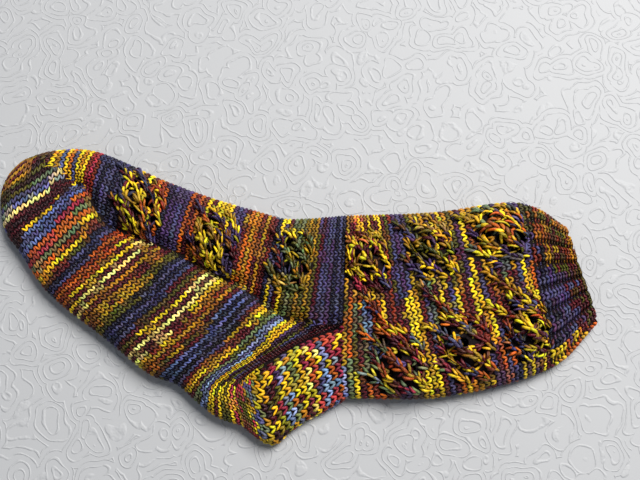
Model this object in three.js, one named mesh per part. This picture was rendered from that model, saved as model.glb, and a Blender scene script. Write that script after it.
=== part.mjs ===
// A hand-knitted sock with lace eyelets, lying on its side on a flat surface.
//
// It is knitted from the cuff down in one piece: ribbed cuff, leg, heel flap with its turn, foot with
// gussets, and toe. Laid on its side, the sock is two layers of cloth that meet at two folds: one runs
// down the front of the leg and along the instep, the other down the back of the leg, round the heel
// and along the sole. Millimetres, +Z up, +X towards the cuff. The origin is on the surface, under the
// middle of the sock.
import * as THREE from "three";

// ---------------------------------------------------------------- driving dimensions
const WALL = 2.2; // thickness of the knitted cloth
const SEAM_GAP = 0.3; // between one knitted section and the next
const FOLD_HEIGHT = 5; // height of the outermost line of a fold above the surface
const CROWN = 18; // height of the upper layer well away from the folds
const UPPER_ROUNDING = 26; // how far in from a fold the upper layer goes on rising
const LOWER_ROUNDING = 7; // how far in from a fold the lower layer touches the surface
const ROW_HEIGHT = 2.76; // one course of knitting
const RIB_COUNT = 16; // knit two, purl two, on 64 stitches
const RIB_DEPTH = 0.7;

// Courses are numbered from the cast-on edge.
const CUFF_ROWS = 14;
const ANKLE_ROW = 53; // the heel flap starts here, on the back half of the leg
const TOE_ROW = 113; // the toe decreases start here
const LAST_ROW = 131; // the toe is grafted shut here

// ---------------------------------------------------------------- the courses, seen from above
// Each course crosses the upper layer from the front fold to the back fold through five points: the
// front fold, the side crease where instep and sole meet, two points on the way, and the back fold.
const LEG_COURSES = [
  [0, [[161, 42], [165, 17], [168, 3], [171, -6], [174, -17]]],
  [CUFF_ROWS, [[134, 57], [137, 20], [140, -4], [143, -23], [145, -41]]],
  [33, [[81, 54], [81, 15], [82, -16], [83, -40], [85, -61]]],
  [ANKLE_ROW, [[29, 50], [26, -19], [25, -36], [25, -49], [26, -62]]],
];
const FOOT_COURSES = [
  [ANKLE_ROW, [[29, 50], [26, -19], [1, -29], [-35, -54], [-29, -79]]],
  [59, [[18, 48], [9, -18], [-15, -34], [-45, -54], [-45, -77]]],
  [65, [[6, 47], [-7, -15], [-27, -34], [-52, -52], [-59, -66]]],
  [71, [[-8, 47], [-20, -6], [-40, -27], [-58, -42], [-70, -54]]],
  [77, [[-22, 51], [-32, 3], [-52, -19], [-69, -34], [-85, -46]]],
  [89, [[-52, 60], [-62, 19], [-79, 0], [-96, -14], [-111, -26]]],
  [101, [[-83, 72], [-92, 33], [-108, 18], [-123, 5], [-138, -6]]],
  [108, [[-104, 82], [-113, 42], [-126, 28], [-139, 16], [-151, 6]]],
  [115, [[-121, 89], [-127, 63], [-141, 48], [-154, 36], [-166, 27]]],
  [119, [[-131, 91], [-134, 68], [-146, 56], [-159, 46], [-171, 39]]],
  [123, [[-140, 90], [-142, 74], [-152, 65], [-164, 58], [-174, 51]]],
  [127, [[-151, 86], [-152, 77], [-159, 71], [-166, 66], [-174, 62]]],
  [LAST_ROW, [[-162, 80], [-162, 76], [-165, 74], [-168, 72], [-171, 70]]],
];
// The back fold round the heel, from the end of the leg to the start of the sole.
const HEEL_FOLD = [[26, -62], [16, -69], [7, -75], [-2, -81], [-9, -88], [-18, -91], [-25, -87], [-29, -79]];

// Lace motifs stand up a little: their centres, on the instep and in two columns on the leg.
const MOTIFS = [
  [-99, 56], [-54, 32], [-14, 13],
  [40, 19], [79, 29], [116, 37],
  [58, -47], [96, -32], [132, -23],
];
const MOTIF_RISE = 3;
const MOTIF_REACH = 9;

// Where the upper layer lies lower: over the heel, which is folded double, and towards the ribbed mouth.
const HEEL_CENTRE = [-4, -64];
const HEEL_DROP = 4;
const HEEL_REACH = 24;
const CUFF_DROP = 3;
const CUFF_DROP_FROM = 125;
const CUFF_DROP_TO = 165;

// Troughs along the side crease and along the edge where stitches were picked up beside the heel flap.
const CREASE_DEPTH = 4.5;
const PICK_UP_DEPTH = 3;
const TROUGH_REACH = 5;

// Rows between the ends of the side crease and the ankle and toe rows.
const CREASE_FROM_ANKLE = 9;
const CREASE_PAST_TOE = 8;

// ---------------------------------------------------------------- how finely it is faceted
const LEG_FOLD_STEPS = 26;
const FOOT_FOLD_STEPS = 38;
const HEEL_FOLD_STEPS = 40;
const CREASE_STEPS = 24;
const PICK_UP_STEPS = 16;
const RIB_SAMPLES = 90;
const CUFF_STEPS = 3;
const LEG_STEPS = 13;
const FOOT_STEPS = 20;
const TOE_STEPS = 8;
const HEEL_STEPS = 12;
const HEEL_HALF_FACETS = 9;

// ---------------------------------------------------------------- curves
const mix = (a, b, t) => a.map((value, i) => value + (b[i] - value) * t);
const gap = (a, b) => Math.hypot(a[0] - b[0], a[1] - b[1]);
const bell = (distance, reach) => Math.exp(-((distance / reach) ** 2));

// A smooth curve through points, each at its own knot value.
function smooth(knots, points, t) {
  let i = 0;
  while (i < knots.length - 2 && t > knots[i + 1]) i += 1;
  const slope = (j) => {
    const before = Math.max(j - 1, 0);
    const after = Math.min(j + 1, knots.length - 1);
    const span = knots[after] - knots[before];
    return points[j].map((_, axis) => (points[after][axis] - points[before][axis]) / span);
  };
  const span = knots[i + 1] - knots[i];
  const s = (t - knots[i]) / span;
  const from = slope(i);
  const to = slope(i + 1);
  return points[i].map((value, axis) => (
    value * (2 * s ** 3 - 3 * s ** 2 + 1)
    + points[i + 1][axis] * (3 * s ** 2 - 2 * s ** 3)
    + from[axis] * span * (s ** 3 - 2 * s ** 2 + s)
    + to[axis] * span * (s ** 3 - s ** 2)
  ));
}

// A curve through points, at a fraction of its length.
function along(points, fraction) {
  const knots = [0];
  for (let i = 1; i < points.length; i += 1) knots.push(knots[i - 1] + gap(points[i - 1], points[i]));
  return smooth(knots, points, fraction * knots[knots.length - 1]);
}

// A point on a course, at a fraction of its width: straight over the instep, then a curve to the back fold.
function across(line, width, fraction) {
  const instep = gap(line[0], line[1]);
  const reach = fraction * width;
  if (reach <= instep) return mix(line[0], line[1], reach / instep);
  return along(line.slice(1), (reach - instep) / (width - instep));
}

// The five guide points of any course between the ones listed.
function guides(courses, row) {
  const knots = courses.map((course) => course[0]);
  return [0, 1, 2, 3, 4].map((place) => smooth(knots, courses.map((course) => course[1][place]), row));
}

function sampled(from, to, steps, at) {
  return Array.from({ length: steps + 1 }, (_, i) => at(from + ((to - from) * i) / steps));
}

function distanceTo(line, x, y) {
  let least = Infinity;
  for (let i = 1; i < line.length; i += 1) {
    const [ax, ay] = line[i - 1];
    const [bx, by] = line[i];
    const length2 = (bx - ax) ** 2 + (by - ay) ** 2;
    const t = Math.min(Math.max(((x - ax) * (bx - ax) + (y - ay) * (by - ay)) / length2, 0), 1);
    least = Math.min(least, Math.hypot(x - ax - t * (bx - ax), y - ay - t * (by - ay)));
  }
  return least;
}

const frontFold = [
  ...sampled(0, ANKLE_ROW, LEG_FOLD_STEPS, (row) => guides(LEG_COURSES, row)[0]),
  ...sampled(ANKLE_ROW + 2, LAST_ROW, FOOT_FOLD_STEPS, (row) => guides(FOOT_COURSES, row)[0]),
];
const backFold = [
  ...sampled(0, ANKLE_ROW, LEG_FOLD_STEPS, (row) => guides(LEG_COURSES, row)[4]),
  ...sampled(0.02, 1, HEEL_FOLD_STEPS, (t) => along(HEEL_FOLD, t)),
  ...sampled(ANKLE_ROW + 2, LAST_ROW, FOOT_FOLD_STEPS, (row) => guides(FOOT_COURSES, row)[4]),
];
const sideCrease = sampled(
  ANKLE_ROW + CREASE_FROM_ANKLE, TOE_ROW + CREASE_PAST_TOE, CREASE_STEPS, (row) => guides(FOOT_COURSES, row)[1],
);
const pickUpEdge = sampled(
  0.1, 0.9, PICK_UP_STEPS, (t) => along(guides(FOOT_COURSES, ANKLE_ROW).slice(1, 4), t),
);

// ---------------------------------------------------------------- heights of the two layers
function roundedRise(distance, reach) {
  const left = 1 - Math.min(distance / reach, 1);
  return Math.sqrt(1 - left * left);
}

function upperHeight(x, y, fold) {
  let crown = CROWN;
  crown -= HEEL_DROP * bell(Math.hypot(x - HEEL_CENTRE[0], y - HEEL_CENTRE[1]), HEEL_REACH);
  crown -= CUFF_DROP * THREE.MathUtils.smoothstep(x, CUFF_DROP_FROM, CUFF_DROP_TO);
  const rise = roundedRise(fold, UPPER_ROUNDING);
  let height = FOLD_HEIGHT + (crown - FOLD_HEIGHT) * rise;
  height -= CREASE_DEPTH * rise * bell(distanceTo(sideCrease, x, y), TROUGH_REACH);
  height -= PICK_UP_DEPTH * rise * bell(distanceTo(pickUpEdge, x, y), TROUGH_REACH);
  for (const [mx, my] of MOTIFS) height += MOTIF_RISE * rise * bell(Math.hypot(x - mx, y - my), MOTIF_REACH);
  return height;
}

function lowerHeight(fold) {
  return FOLD_HEIGHT * (1 - roundedRise(fold, LOWER_ROUNDING));
}

// How far across a course each of its facets ends. They are narrow at the folds, and one ends at the
// crease and one where the picked-up edge turns down into the sole.
const FACETS = 18;
const CREASE_FACET = 9;
const CORNER_FACET = 14;
const towardsFolds = (i) => (1 - Math.cos((Math.PI * i) / FACETS)) / 2;

function facetEnds(line, width) {
  const crease = gap(line[0], line[1]) / width;
  const corner = 1 - gap(line[3], line[4]) / width;
  const knots = [0, towardsFolds(CREASE_FACET), towardsFolds(CORNER_FACET), 1];
  const places = [0, crease, corner, 1];
  return Array.from({ length: FACETS + 1 }, (_, i) => {
    const stretch = i < CREASE_FACET ? 0 : i < CORNER_FACET ? 1 : 2;
    const share = (towardsFolds(i) - knots[stretch]) / (knots[stretch + 1] - knots[stretch]);
    return places[stretch] + share * (places[stretch + 1] - places[stretch]);
  });
}

// A closed course: over the upper layer from the front fold to the back fold, then back underneath.
function closedCourse(line, fractions) {
  const width = line.slice(1).reduce((sum, point, i) => sum + gap(line[i], point), 0);
  const onLayer = (fraction, upper) => {
    const [x, y] = across(line, width, fraction);
    const toEnd = Math.min(fraction, 1 - fraction) * width;
    const fold = Math.min(distanceTo(frontFold, x, y), distanceTo(backFold, x, y), toEnd);
    return new THREE.Vector3(x, y, upper ? upperHeight(x, y, fold) : lowerHeight(fold));
  };
  const ends = fractions(line, width);
  return [
    ...ends.map((fraction) => onLayer(fraction, true)),
    ...ends.slice(1, -1).reverse().map((fraction) => onLayer(fraction, false)),
  ];
}

const legCourse = (row) => closedCourse(guides(LEG_COURSES, row), facetEnds);
const footCourse = (row) => closedCourse(guides(FOOT_COURSES, row), facetEnds);

// A ribbed course: its points are evenly spaced, and on the upper layer the purl stitches lie lower.
const FACETS_PER_RIB = 5;
function ribbedCourse(row) {
  const closeAtFolds = () => sampled(0, 1, RIB_SAMPLES, (s) => s * s * (3 - 2 * s));
  const dense = closedCourse(guides(LEG_COURSES, row), closeAtFolds);
  dense.push(dense[0].clone());
  const lengths = [0];
  for (let i = 1; i < dense.length; i += 1) lengths.push(lengths[i - 1] + dense[i].distanceTo(dense[i - 1]));
  const total = lengths[lengths.length - 1];
  const count = RIB_COUNT * FACETS_PER_RIB;
  let i = 0;
  return Array.from({ length: count }, (_, k) => {
    const target = (total * k) / count;
    while (lengths[i + 1] < target) i += 1;
    const point = dense[i].clone().lerp(dense[i + 1], (target - lengths[i]) / (lengths[i + 1] - lengths[i]));
    const purl = (1 - Math.cos((2 * Math.PI * k) / FACETS_PER_RIB)) / 2;
    point.z -= RIB_DEPTH * purl * Math.max((point.z - FOLD_HEIGHT) / CROWN, 0);
    return point;
  });
}

// ---------------------------------------------------------------- cloth walls
// The way out of the cloth at each point of one row: pointsAt gives the row's points at any place.
function outward(pointsAt, place, step, closed) {
  const points = pointsAt(place);
  const before = pointsAt(place - step);
  const after = pointsAt(place + step);
  const count = points.length;
  return points.map((_, k) => {
    const left = closed ? (k + count - 1) % count : Math.max(k - 1, 0);
    const right = closed ? (k + 1) % count : Math.min(k + 1, count - 1);
    const down = after[k].clone().sub(before[k]);
    return down.cross(points[right].clone().sub(points[left])).normalize();
  });
}

// A solid wall of cloth whose outside passes through rows of points. A closed wall is a tube, and tip
// shuts the far end of a tube, as grafting does.
function clothWall(pointsAt, places, step, { closed = false, tip = false }) {
  const grid = places.map(pointsAt);
  const inner = places.map((place, i) => {
    const out = outward(pointsAt, place, step, closed);
    return grid[i].map((p, k) => p.clone().addScaledVector(out[k], -WALL));
  });
  const count = grid[0].length;
  const rows = grid.length;
  const vertices = [...grid.flat(), ...inner.flat()];
  const offset = rows * count;
  const faces = [];
  const quad = (a, b, c, d) => faces.push([a, b, c], [a, c, d]);
  const steps = closed ? count : count - 1;
  for (let i = 0; i < rows - 1; i += 1) {
    for (let k = 0; k < steps; k += 1) {
      const next = (k + 1) % count;
      const [a, b, c, d] = [i * count + k, i * count + next, (i + 1) * count + next, (i + 1) * count + k];
      quad(d, c, b, a);
      quad(offset + a, offset + b, offset + c, offset + d);
    }
  }
  const last = (rows - 1) * count;
  for (let k = 0; k < steps; k += 1) {
    const next = (k + 1) % count;
    quad(next, offset + next, offset + k, k);
    if (!tip) quad(last + k, offset + last + k, offset + last + next, last + next);
  }
  if (!closed) {
    for (let i = 0; i < rows - 1; i += 1) {
      const [a, b] = [i * count, (i + 1) * count];
      quad(a, offset + a, offset + b, b);
      quad(b + count - 1, offset + b + count - 1, offset + a + count - 1, a + count - 1);
    }
  }
  if (tip) {
    const middle = (points) => points.reduce((sum, p) => sum.add(p), new THREE.Vector3())
      .divideScalar(points.length);
    const beyond = middle(grid[rows - 1]).sub(middle(grid[rows - 2])).normalize();
    const outerTip = vertices.push(middle(grid[rows - 1]).addScaledVector(beyond, WALL)) - 1;
    const innerTip = vertices.push(middle(inner[rows - 1])) - 1;
    for (let k = 0; k < count; k += 1) {
      const next = (k + 1) % count;
      faces.push([outerTip, last + next, last + k]);
      faces.push([innerTip, offset + last + k, offset + last + next]);
    }
  }
  const geometry = new THREE.BufferGeometry();
  geometry.setAttribute("position", new THREE.Float32BufferAttribute(vertices.flatMap((v) => v.toArray()), 3));
  geometry.setIndex(faces.flat());
  geometry.computeVertexNormals();
  return geometry;
}

function knitted(name, geometry, color) {
  const wool = new THREE.MeshStandardMaterial({ color, roughness: 0.9, metalness: 0 });
  const mesh = new THREE.Mesh(geometry, wool);
  mesh.name = name;
  return mesh;
}

// ---------------------------------------------------------------- the knitted sections
const SHORT_ROW = 1.9; // the rows crowd together at the front of the ankle
const trim = SEAM_GAP / SHORT_ROW; // rows by which an edge is pulled back to leave the seam gap
const HALF_ROW = 0.5;

// The cuff: k2 p2 rib, whose ridges run along the sock.
function cuff() {
  const rows = sampled(0, CUFF_ROWS - trim, CUFF_STEPS, (row) => row);
  return clothWall(ribbedCourse, rows, HALF_ROW, { closed: true });
}

function leg() {
  const rows = sampled(CUFF_ROWS + trim, ANKLE_ROW - trim, LEG_STEPS, (row) => row);
  return clothWall(legCourse, rows, HALF_ROW, { closed: true });
}

// Instep, gussets and sole, from the picked-up stitches to the toe.
function foot() {
  const rows = sampled(ANKLE_ROW + trim, TOE_ROW - trim, FOOT_STEPS, (row) => row);
  return clothWall(footCourse, rows, HALF_ROW, { closed: true });
}

function toe() {
  const rows = sampled(TOE_ROW + trim, LAST_ROW, TOE_STEPS, (row) => row);
  return clothWall(footCourse, rows, HALF_ROW, { closed: true, tip: true });
}

// Heel flap and heel turn: a pocket folded down its middle. Its upper layer lies between the picked-up
// edge and the back fold, its lower layer is the same underneath.
function heel() {
  const [, crease, middle, corner, back] = guides(FOOT_COURSES, ANKLE_ROW);
  const pickUpLength = gap(crease, middle) + gap(middle, corner);
  const pickUpShare = pickUpLength / (pickUpLength + gap(corner, back));
  const firstSoleCourse = [crease, middle, corner, back];
  const pickUp = (down) => along(firstSoleCourse, down * pickUpShare);
  const soleStart = (toFold) => along(firstSoleCourse, pickUpShare + (1 - pickUpShare) * toFold);
  const flapStart = guides(LEG_COURSES, ANKLE_ROW).slice(1);
  const onUpperLayer = (toFold, down) => {
    const sides = mix(pickUp(down), along(HEEL_FOLD, down), toFold);
    const ends = mix(along(flapStart, toFold), soleStart(toFold), down);
    const corners = mix(mix(crease, corner, down), mix(flapStart[3], back, down), toFold);
    return sides.map((value, axis) => value + ends[axis] - corners[axis]);
  };
  // These keep the pocket's edges clear of the leg, of the picked-up edge and of the sole's first corner.
  const legEdge = 0.008;
  const footEdge = 0.045;
  const soleEdge = 0.055;
  const flapCourse = (down) => Array.from({ length: 2 * HEEL_HALF_FACETS + 1 }, (_, k) => {
    const toFold = footEdge + (1 - footEdge) * (1 - Math.abs(1 - k / HEEL_HALF_FACETS));
    const [x, y] = onUpperLayer(Math.sin((toFold * Math.PI) / 2), down);
    const fold = k === HEEL_HALF_FACETS ? 0 : distanceTo(backFold, x, y);
    return new THREE.Vector3(x, y, k <= HEEL_HALF_FACETS ? upperHeight(x, y, fold) : lowerHeight(fold));
  });
  return clothWall(flapCourse, sampled(legEdge, 1 - soleEdge, HEEL_STEPS, (down) => down), legEdge, {});
}

const sock = new THREE.Group();
sock.name = "lace_sock";
sock.add(knitted("cuff", cuff(), 0x5a3d3f));
sock.add(knitted("leg", leg(), 0x6f4c33));
sock.add(knitted("heel", heel(), 0x8a5a36));
sock.add(knitted("foot", foot(), 0x75552f));
sock.add(knitted("toe", toe(), 0x6b4230));

export default sock;
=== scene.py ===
# %% [markdown]
# # A hand-knitted lace sock
#
# The sock lies on its side, empty, on a pale surface. Three layers make it here. A thin cloth carries the
# shape. Knit stitches lie on the cloth, each one a pair of small plump strands of yarn. Lace motifs have
# real holes in the cloth, with loose strands round them.
#
# Everything is placed by two numbers, as a knitter counts: the course, or row, from the cast-on edge, and
# how far round the sock a stitch is. One function turns these into a place on the cloth.

# %% Load the frame
import math

import bmesh
import bpy
import numpy as np
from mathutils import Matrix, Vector


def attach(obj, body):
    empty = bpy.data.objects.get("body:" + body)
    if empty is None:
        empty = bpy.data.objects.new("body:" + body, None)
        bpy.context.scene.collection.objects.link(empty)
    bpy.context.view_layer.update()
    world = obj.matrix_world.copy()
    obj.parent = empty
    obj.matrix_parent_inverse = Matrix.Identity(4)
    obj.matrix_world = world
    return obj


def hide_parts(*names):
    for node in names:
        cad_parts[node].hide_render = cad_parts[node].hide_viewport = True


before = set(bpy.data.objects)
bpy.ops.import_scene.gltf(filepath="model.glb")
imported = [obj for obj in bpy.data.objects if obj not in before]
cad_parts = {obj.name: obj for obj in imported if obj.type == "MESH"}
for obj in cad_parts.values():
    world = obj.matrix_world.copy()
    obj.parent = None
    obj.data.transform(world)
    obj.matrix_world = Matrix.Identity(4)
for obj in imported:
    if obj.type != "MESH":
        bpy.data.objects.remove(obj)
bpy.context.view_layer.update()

MM = 0.001

# %% [markdown]
# ## Camera
# The sock is seen from nearly straight above. A long lens from half a metre keeps the two ends at almost
# the same scale. The camera comes first, because the light and the detail are judged through it.

# %% Camera
VIEW_HEIGHT = math.radians(75)
VIEW_DISTANCE = 0.529
looked_at = Vector((0.0132, 0.0335, 0.006))
camera = bpy.data.objects.new("camera", bpy.data.cameras.new("camera"))
bpy.context.collection.objects.link(camera)
camera.data.lens = 50
camera.location = looked_at + VIEW_DISTANCE * Vector((0, -math.cos(VIEW_HEIGHT), math.sin(VIEW_HEIGHT)))
camera.rotation_euler = (looked_at - camera.location).to_track_quat("-Z", "Y").to_euler()
bpy.context.scene.camera = camera

# %% [markdown]
# ## The form of the cloth
# A sock on its side is two layers that meet at two folds, one down the front of the leg and the instep,
# one down the back of the leg, round the heel and along the sole. Each course crosses the upper layer
# from the front fold to the back fold, and comes back underneath. A few courses are given in
# millimetres, each by five points: the front fold, the side crease where instep and sole meet, two points
# on the way, and the back fold. The courses between them follow by smooth interpolation.
#
# The form could also be sculpted by hand. Then nobody would know where its courses run, and the stitches
# have to follow them.

# %% Courses given in millimetres
CUFF_ROWS, ANKLE_ROW, TOE_ROW, LAST_ROW = 14, 53, 113, 131
LEG_COURSES = {
    0: [(159, 42), (163, 17), (167, 3), (170, -6), (174, -17)],
    14: [(134, 57), (137, 20), (140, -4), (143, -24), (145, -43)],
    33: [(81, 51), (81, 15), (82, -16), (83, -39), (85, -59)],
    53: [(29, 49), (26, -19), (25, -36), (25, -49), (26, -60)],
}
FOOT_COURSES = {
    53: [(29, 49), (26, -19), (1, -29), (-33, -53), (-28, -76)],
    59: [(18, 48), (9, -18), (-15, -34), (-42, -53), (-44, -71)],
    65: [(6, 47), (-7, -15), (-27, -34), (-50, -50), (-57, -62)],
    71: [(-8, 47), (-20, -6), (-40, -27), (-57, -41), (-69, -52)],
    77: [(-22, 51), (-32, 3), (-52, -19), (-69, -34), (-85, -46)],
    89: [(-52, 60), (-62, 19), (-79, 0), (-96, -14), (-111, -26)],
    101: [(-83, 72), (-92, 33), (-108, 18), (-123, 5), (-138, -6)],
    108: [(-104, 82), (-113, 42), (-126, 28), (-139, 16), (-151, 6)],
    115: [(-121, 89), (-127, 63), (-141, 48), (-154, 36), (-166, 27)],
    119: [(-131, 91), (-134, 68), (-146, 56), (-160, 46), (-174, 37)],
    123: [(-141, 91), (-143, 74), (-154, 65), (-166, 58), (-178, 50)],
    127: [(-153, 89), (-156, 80), (-163, 73), (-170, 67), (-179, 61)],
    131: [(-165, 84), (-168, 82), (-171, 79), (-174, 75), (-176, 71)],
}
HEEL_FOLD = [(26, -60), (17, -65), (9, -69), (2, -73), (-5, -78), (-12, -84), (-20, -82), (-28, -76)]
print("placed by hand:", len(LEG_COURSES), "courses of the leg and", len(FOOT_COURSES), "of the foot")

# %% [markdown]
# One tool serves for the courses in between, for the folds and for the sides of the heel: a curve through
# a few values, made of cubic pieces. It goes through every value, and its slope at each comes from the
# values on both sides, so it doesn't swing out as one polynomial through them all would.

# %% Smooth curves
def smooth(knots, values, t):
    """A smooth curve through values, each at its own knot."""
    knots, values, t = np.asarray(knots, float), np.asarray(values, float), np.asarray(t, float)
    slope = np.gradient(values, knots, axis=0)
    slope[1:-1] = (values[2:] - values[:-2]) / (knots[2:] - knots[:-2])[:, None]
    i = np.clip(np.searchsorted(knots, t, side="right") - 1, 0, len(knots) - 2)
    span = (knots[i + 1] - knots[i])[..., None]
    s = (t[..., None] - knots[i][..., None]) / span
    return (
        values[i] * (2 * s**3 - 3 * s**2 + 1) + values[i + 1] * (3 * s**2 - 2 * s**3)
        + slope[i] * span * (s**3 - 2 * s**2 + s) + slope[i + 1] * span * (s**3 - s**2)
    )


def along(points, fraction):
    """Places at these fractions of the way along a smooth curve through the points."""
    points = np.asarray(points, float)
    knots = np.append(0, np.cumsum(np.linalg.norm(np.diff(points, axis=0), axis=1)))
    return smooth(knots, points, np.asarray(fraction) * knots[-1])


def guides(courses, row):
    """The five guide points of any course."""
    flat = [np.ravel(points) for points in courses.values()]
    return smooth(list(courses), flat, np.array([float(row)]))[0].reshape(5, 2)


def line_of(courses, place, rows):
    """The line that one of the five guide points follows from course to course."""
    return np.array([guides(courses, row)[place] for row in rows])


print("course 40 crosses the leg through", guides(LEG_COURSES, 40).round().tolist())

# %% [markdown]
# The two folds bound the sock. Three more lines show where the cloth sinks: the crease between instep and
# sole, the edge of the heel flap where stitches were picked up, and the end of the ribbing.

# %% Folds and creases
leg_rows, foot_rows_on = range(-2, ANKLE_ROW + 1), range(ANKLE_ROW + 1, LAST_ROW + 1)
front_fold = np.vstack([
    line_of(LEG_COURSES, 0, leg_rows),
    line_of(FOOT_COURSES, 0, foot_rows_on),
    guides(FOOT_COURSES, LAST_ROW)[1:],  # the toe is grafted shut along its last course
])
back_fold = np.vstack([
    line_of(LEG_COURSES, 4, leg_rows),
    along(HEEL_FOLD, np.linspace(0.02, 1, 60)),
    line_of(FOOT_COURSES, 4, foot_rows_on),
])
side_crease = line_of(FOOT_COURSES, 1, range(ANKLE_ROW + 9, TOE_ROW + 8))
pick_up_edge = along(guides(FOOT_COURSES, ANKLE_ROW)[1:4], np.linspace(0.1, 0.9, 30))
rib_end = guides(LEG_COURSES, CUFF_ROWS + 0.8)
print("folds of", len(front_fold), "and", len(back_fold), "points")

# %% [markdown]
# How high the upper layer stands depends on how far in from a fold it is: it rises in a soft quarter
# round and then stays level. The side crease is a trough, and so is the line above the heel flap, where
# stitches were picked up. The lace motifs stand up a little, because their cloth is looser. A simulation
# could settle the two layers too, but here every dip has a name and a size, and can be changed alone.

# %% Heights of the two layers, in millimetres
FOLD_HEIGHT, CROWN = 5.0, 18.0
UPPER_ROUNDING, LOWER_ROUNDING = 26.0, 7.0
TROUGHS = [(side_crease, 7.5, 5.5), (pick_up_edge, 6, 5.5), (rib_end, 3, 4.5)]  # line, depth and reach
MOTIF_CENTRES = [
    (-99, 56), (-54, 32), (-14, 13), (40, 19), (79, 29), (116, 37), (58, -47), (96, -32), (132, -23),
]
MOTIF_RISE, MOTIF_REACH = 3.2, 8
HOLLOW = (-10, -5)  # from the centre of each motif, where the loose cloth sinks
HOLLOW_DEPTH, HOLLOW_REACH = 3.6, 6
HEEL_MIDDLE, HEEL_SINK, HEEL_REACH = (-4, -64), 4, 24
MOUTH_SINK, SINKS_FROM, SINKS_TO = 3, 125, 165  # the cuff lies flatter towards its mouth
RIPPLE = 0.45
STITCH_DEPTH = 1.4  # the lower layer's stitches touch the surface, so its cloth lies this much above it


def distance_to(line, xy):
    """How far each place is from the nearest point of a line."""
    a, b = line[:-1], line[1:]
    ab = b - a
    t = ((xy[:, None] - a) * ab).sum(2) / np.maximum((ab * ab).sum(1), 1e-9)
    foot = a + np.clip(t, 0, 1)[..., None] * ab
    return np.linalg.norm(xy[:, None] - foot, axis=2).min(1)


def bell(distance, reach):
    """1 in the middle, sinking softly to 0 beyond the reach."""
    return np.exp(-((distance / reach) ** 2))


def rounded_rise(distance, reach):
    """A quarter round from 0 at a fold to 1 at the reach."""
    return np.sqrt(1 - (1 - np.minimum(distance / reach, 1)) ** 2)


def upper_height(xy, fold):
    """Height of the upper layer, where fold is the distance of each place to the nearest fold."""
    x, y = xy.T
    crown = CROWN - HEEL_SINK * bell(np.linalg.norm(xy - HEEL_MIDDLE, axis=1), HEEL_REACH)
    to_mouth = np.clip((x - SINKS_FROM) / (SINKS_TO - SINKS_FROM), 0, 1)
    crown = crown - MOUTH_SINK * to_mouth * to_mouth * (3 - 2 * to_mouth)
    rise = rounded_rise(fold, UPPER_ROUNDING)
    height = FOLD_HEIGHT + (crown - FOLD_HEIGHT) * rise
    for line, depth, reach in TROUGHS:
        height -= depth * rise * bell(distance_to(line, xy), reach)
    for centre in MOTIF_CENTRES:
        away = xy - centre
        height += MOTIF_RISE * rise * bell(np.linalg.norm(away, axis=1), MOTIF_REACH)
        height -= HOLLOW_DEPTH * rise * bell(np.linalg.norm(away - HOLLOW, axis=1), HOLLOW_REACH)
    ripple = np.sin(x / 6.5 + y / 17) + 0.7 * np.sin(x / 11 - y / 9)
    return height + RIPPLE * rise * ripple


def lower_height(fold):
    """Height of the lower layer, which lies flat and only turns up near a fold."""
    return STITCH_DEPTH + (FOLD_HEIGHT - STITCH_DEPTH) * (1 - rounded_rise(fold, LOWER_ROUNDING))


in_from_fold = np.array([0.0, 5.0, 15.0, 30.0])
print("lower layer", lower_height(in_from_fold).round(1), "mm high at", in_from_fold, "mm from a fold")

# %% [markdown]
# A knitted section is kept as a table: one line for each course, with places evenly spaced round it.
# Asking the table for a course and a distance round gives the point on the cloth and the way out of it.
# Stitches, strands and the cloth itself all ask the same table, so they cannot drift apart.

# %% A knitted section
ROUND = 320  # places in one line of the table
PRESSED_FLAT = 0.05  # nothing lies lower than this, because the sock's own weight presses it flat


class Section:
    """Courses of a section. round_mm is each course's length, crease and back are distances along it."""

    def __init__(self, rows, lines, row_mm, stitch_mm, closed=True):
        self.rows, self.closed = np.asarray(rows, float), closed
        self.row_mm, self.stitch_mm = row_mm, stitch_mm
        self.round_mm = np.zeros(len(rows))
        table = []
        for i, points in enumerate(lines):
            lengths = np.append(0, np.cumsum(np.linalg.norm(np.diff(points, axis=0), axis=1)))
            self.round_mm[i] = lengths[-1]
            even = np.linspace(0, lengths[-1], ROUND + 1)
            table.append(np.stack([np.interp(even, lengths, points[:, axis]) for axis in range(3)], axis=1))
        self.table = np.array(table)
        self.find_way_out()

    def find_way_out(self):
        """The direction away from the cloth at each place of the table."""
        down = np.gradient(self.table, axis=0)
        over = np.gradient(self.table, axis=1)
        if self.closed:
            over[:, 0] = over[:, -1] = (self.table[:, 1] - self.table[:, -2]) / 2
        out = np.cross(down, over)
        self.out = out / np.maximum(np.linalg.norm(out, axis=2, keepdims=True), 1e-9)

    def _read(self, table, row, share):
        """A value of the table at any course and share of the way round, between its places."""
        r = np.clip((row - self.rows[0]) / (self.rows[1] - self.rows[0]), 0, len(self.rows) - 1.0001)
        k = (share % 1.0 if self.closed else np.clip(share, 0, 0.99999)) * ROUND
        i, j = r.astype(int), np.minimum(k.astype(int), ROUND - 1)
        fr, fj = (r - i)[..., None], (k - j)[..., None]
        near = table[i, j] * (1 - fj) + table[i, j + 1] * fj
        far = table[i + 1, j] * (1 - fj) + table[i + 1, j + 1] * fj
        return near * (1 - fr) + far * fr

    def length(self, row):
        """Millimetres round the section at a course."""
        return np.interp(row, self.rows, self.round_mm)

    def place(self, row, reach, lift):
        """Points in metres, from the course, the millimetres round and the millimetres off the cloth."""
        share = reach / self.length(row)
        points = self._read(self.table, row, share)
        points = points + self._read(self.out, row, share) * lift[..., None]
        points[..., 2] = np.maximum(points[..., 2], PRESSED_FLAT)
        return points * MM


print("a section's table has", ROUND, "places to a course")

# %% [markdown]
# A closed course goes over the upper layer and back under the lower one. It is made with more places near
# the folds, where it turns. Yarn lies outside the cloth, so the cloth is drawn in a little at each fold,
# and the outline is then the yarn's.

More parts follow.
